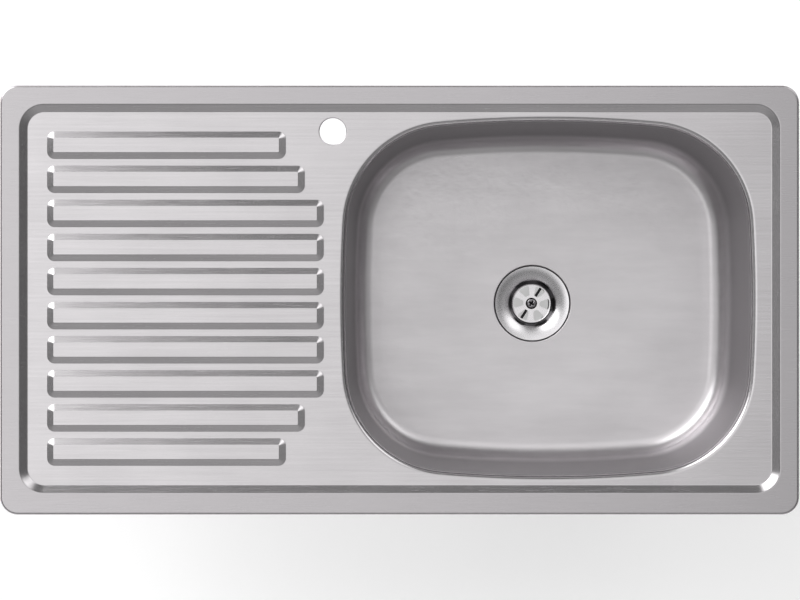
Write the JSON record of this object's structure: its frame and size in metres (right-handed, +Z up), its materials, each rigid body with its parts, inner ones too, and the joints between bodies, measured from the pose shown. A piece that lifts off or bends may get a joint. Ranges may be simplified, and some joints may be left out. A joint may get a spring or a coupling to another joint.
{
  "type": "kitchen sink",
  "caption": "Inset stainless steel kitchen sink with a ribbed drainboard at the left and a rounded bowl at the right, with a tap hole, strainer waste and rim clamps",
  "frame": {"origin": "the centre of the worktop's cut-out, on the worktop's top face, where the rim seal rests", "axes": "+X along the sink to the bowl end, +Y to the wall behind the sink, where the tap hole is, +Z up"},
  "size_m": [0.8, 0.43, 0.236],
  "materials": {
    "top_steel": "stainless sheet, fine grain along its length",
    "bowl_steel": "stainless sheet, satin",
    "polished_steel": "polished stainless steel",
    "seal_rubber": "black rubber",
    "waste_plastic": "moulded dark grey polypropylene",
    "insert_brass": "turned brass",
    "pad_bitumen": "embossed bitumen sheet",
    "foam": "closed-cell foam",
    "brace_steel": "folded stainless strip",
    "plated_steel": "zinc plated steel"
  },
  "bodies": {
    "sink": {"sink_top": "top_steel", "bowl": "bowl_steel", "strainer_dish": "polished_steel", "upper_waste_seal": "seal_rubber", "lower_waste_seal": "seal_rubber", "waste_body": "waste_plastic", "waste_insert": "insert_brass", "waste_screw": "polished_steel", "sound_pad": "pad_bitumen", "rim_seal": "foam", "brace_left": "brace_steel", "brace_right": "brace_steel", "weld_nuts": "plated_steel", "clamp_bracket_end_left": "plated_steel", "clamp_bracket_end_right": "plated_steel", "clamp_bracket_rear_left": "plated_steel", "clamp_bracket_front_left": "plated_steel", "clamp_bracket_rear_middle": "plated_steel", "clamp_bracket_front_middle": "plated_steel", "clamp_bracket_rear_right": "plated_steel", "clamp_bracket_front_right": "plated_steel"},
    "lift_end_left": {"clamp_washer_end_left": "plated_steel"},
    "screw_end_left": {"clamp_screw_end_left": "plated_steel"},
    "claw_end_left": {"clamp_claw_end_left": "plated_steel"},
    "lift_end_right": {"clamp_washer_end_right": "plated_steel"},
    "screw_end_right": {"clamp_screw_end_right": "plated_steel"},
    "claw_end_right": {"clamp_claw_end_right": "plated_steel"},
    "lift_rear_left": {"clamp_washer_rear_left": "plated_steel"},
    "screw_rear_left": {"clamp_screw_rear_left": "plated_steel"},
    "claw_rear_left": {"clamp_claw_rear_left": "plated_steel"},
    "lift_front_left": {"clamp_washer_front_left": "plated_steel"},
    "screw_front_left": {"clamp_screw_front_left": "plated_steel"},
    "claw_front_left": {"clamp_claw_front_left": "plated_steel"},
    "lift_rear_middle": {"clamp_washer_rear_middle": "plated_steel"},
    "screw_rear_middle": {"clamp_screw_rear_middle": "plated_steel"},
    "claw_rear_middle": {"clamp_claw_rear_middle": "plated_steel"},
    "lift_front_middle": {"clamp_washer_front_middle": "plated_steel"},
    "screw_front_middle": {"clamp_screw_front_middle": "plated_steel"},
    "claw_front_middle": {"clamp_claw_front_middle": "plated_steel"},
    "lift_rear_right": {"clamp_washer_rear_right": "plated_steel"},
    "screw_rear_right": {"clamp_screw_rear_right": "plated_steel"},
    "claw_rear_right": {"clamp_claw_rear_right": "plated_steel"},
    "lift_front_right": {"clamp_washer_front_right": "plated_steel"},
    "screw_front_right": {"clamp_screw_front_right": "plated_steel"},
    "claw_front_right": {"clamp_claw_front_right": "plated_steel"}
  },
  "joints": [
    {"name": "clamp_lift_end_left", "type": "slide", "parent": "sink", "child": "lift_end_left", "axis": [0, 0, 1], "range_m": [0, 0.018]},
    {"name": "clamp_screw_turn_end_left", "type": "hinge", "parent": "lift_end_left", "child": "screw_end_left", "pos_m": [-0.376, 0, -0.056], "axis": [0, 0, 1], "range_deg": [0, 6480]},
    {"name": "clamp_claw_swing_end_left", "type": "hinge", "parent": "lift_end_left", "child": "claw_end_left", "pos_m": [-0.376, 0, -0.056], "axis": [0, 0, 1], "range_deg": [0, 90]},
    {"name": "clamp_lift_end_right", "type": "slide", "parent": "sink", "child": "lift_end_right", "axis": [0, 0, 1], "range_m": [0, 0.018]},
    {"name": "clamp_screw_turn_end_right", "type": "hinge", "parent": "lift_end_right", "child": "screw_end_right", "pos_m": [0.376, 0, -0.056], "axis": [0, 0, 1], "range_deg": [0, 6480]},
    {"name": "clamp_claw_swing_end_right", "type": "hinge", "parent": "lift_end_right", "child": "claw_end_right", "pos_m": [0.376, 0, -0.056], "axis": [0, 0, 1], "range_deg": [0, 90]},
    {"name": "clamp_lift_rear_left", "type": "slide", "parent": "sink", "child": "lift_rear_left", "axis": [0, 0, 1], "range_m": [0, 0.018]},
    {"name": "clamp_screw_turn_rear_left", "type": "hinge", "parent": "lift_rear_left", "child": "screw_rear_left", "pos_m": [-0.28, 0.191, -0.056], "axis": [0, 0, 1], "range_deg": [0, 6480]},
    {"name": "clamp_claw_swing_rear_left", "type": "hinge", "parent": "lift_rear_left", "child": "claw_rear_left", "pos_m": [-0.28, 0.191, -0.056], "axis": [0, 0, 1], "range_deg": [0, 90]},
    {"name": "clamp_lift_front_left", "type": "slide", "parent": "sink", "child": "lift_front_left", "axis": [0, 0, 1], "range_m": [0, 0.018]},
    {"name": "clamp_screw_turn_front_left", "type": "hinge", "parent": "lift_front_left", "child": "screw_front_left", "pos_m": [-0.28, -0.191, -0.056], "axis": [0, 0, 1], "range_deg": [0, 6480]},
    {"name": "clamp_claw_swing_front_left", "type": "hinge", "parent": "lift_front_left", "child": "claw_front_left", "pos_m": [-0.28, -0.191, -0.056], "axis": [0, 0, 1], "range_deg": [0, 90]},
    {"name": "clamp_lift_rear_middle", "type": "slide", "parent": "sink", "child": "lift_rear_middle", "axis": [0, 0, 1], "range_m": [0, 0.018]},
    {"name": "clamp_screw_turn_rear_middle", "type": "hinge", "parent": "lift_rear_middle", "child": "screw_rear_middle", "pos_m": [0.02, 0.191, -0.056], "axis": [0, 0, 1], "range_deg": [0, 6480]},
    {"name": "clamp_claw_swing_rear_middle", "type": "hinge", "parent": "lift_rear_middle", "child": "claw_rear_middle", "pos_m": [0.02, 0.191, -0.056], "axis": [0, 0, 1], "range_deg": [0, 90]},
    {"name": "clamp_lift_front_middle", "type": "slide", "parent": "sink", "child": "lift_front_middle", "axis": [0, 0, 1], "range_m": [0, 0.018]},
    {"name": "clamp_screw_turn_front_middle", "type": "hinge", "parent": "lift_front_middle", "child": "screw_front_middle", "pos_m": [0.02, -0.191, -0.056], "axis": [0, 0, 1], "range_deg": [0, 6480]},
    {"name": "clamp_claw_swing_front_middle", "type": "hinge", "parent": "lift_front_middle", "child": "claw_front_middle", "pos_m": [0.02, -0.191, -0.056], "axis": [0, 0, 1], "range_deg": [0, 90]},
    {"name": "clamp_lift_rear_right", "type": "slide", "parent": "sink", "child": "lift_rear_right", "axis": [0, 0, 1], "range_m": [0, 0.018]},
    {"name": "clamp_screw_turn_rear_right", "type": "hinge", "parent": "lift_rear_right", "child": "screw_rear_right", "pos_m": [0.32, 0.191, -0.056], "axis": [0, 0, 1], "range_deg": [0, 6480]},
    {"name": "clamp_claw_swing_rear_right", "type": "hinge", "parent": "lift_rear_right", "child": "claw_rear_right", "pos_m": [0.32, 0.191, -0.056], "axis": [0, 0, 1], "range_deg": [0, 90]},
    {"name": "clamp_lift_front_right", "type": "slide", "parent": "sink", "child": "lift_front_right", "axis": [0, 0, 1], "range_m": [0, 0.018]},
    {"name": "clamp_screw_turn_front_right", "type": "hinge", "parent": "lift_front_right", "child": "screw_front_right", "pos_m": [0.32, -0.191, -0.056], "axis": [0, 0, 1], "range_deg": [0, 6480]},
    {"name": "clamp_claw_swing_front_right", "type": "hinge", "parent": "lift_front_right", "child": "claw_front_right", "pos_m": [0.32, -0.191, -0.056], "axis": [0, 0, 1], "range_deg": [0, 90]}
  ],
  "couplings": [
    {"joint": "clamp_screw_turn_end_left", "follows": "clamp_lift_end_left", "rad_per_m": 6283.2},
    {"joint": "clamp_screw_turn_end_right", "follows": "clamp_lift_end_right", "rad_per_m": 6283.2},
    {"joint": "clamp_screw_turn_rear_left", "follows": "clamp_lift_rear_left", "rad_per_m": 6283.2},
    {"joint": "clamp_screw_turn_front_left", "follows": "clamp_lift_front_left", "rad_per_m": 6283.2},
    {"joint": "clamp_screw_turn_rear_middle", "follows": "clamp_lift_rear_middle", "rad_per_m": 6283.2},
    {"joint": "clamp_screw_turn_front_middle", "follows": "clamp_lift_front_middle", "rad_per_m": 6283.2},
    {"joint": "clamp_screw_turn_rear_right", "follows": "clamp_lift_rear_right", "rad_per_m": 6283.2},
    {"joint": "clamp_screw_turn_front_right", "follows": "clamp_lift_front_right", "rad_per_m": 6283.2}
  ]
}
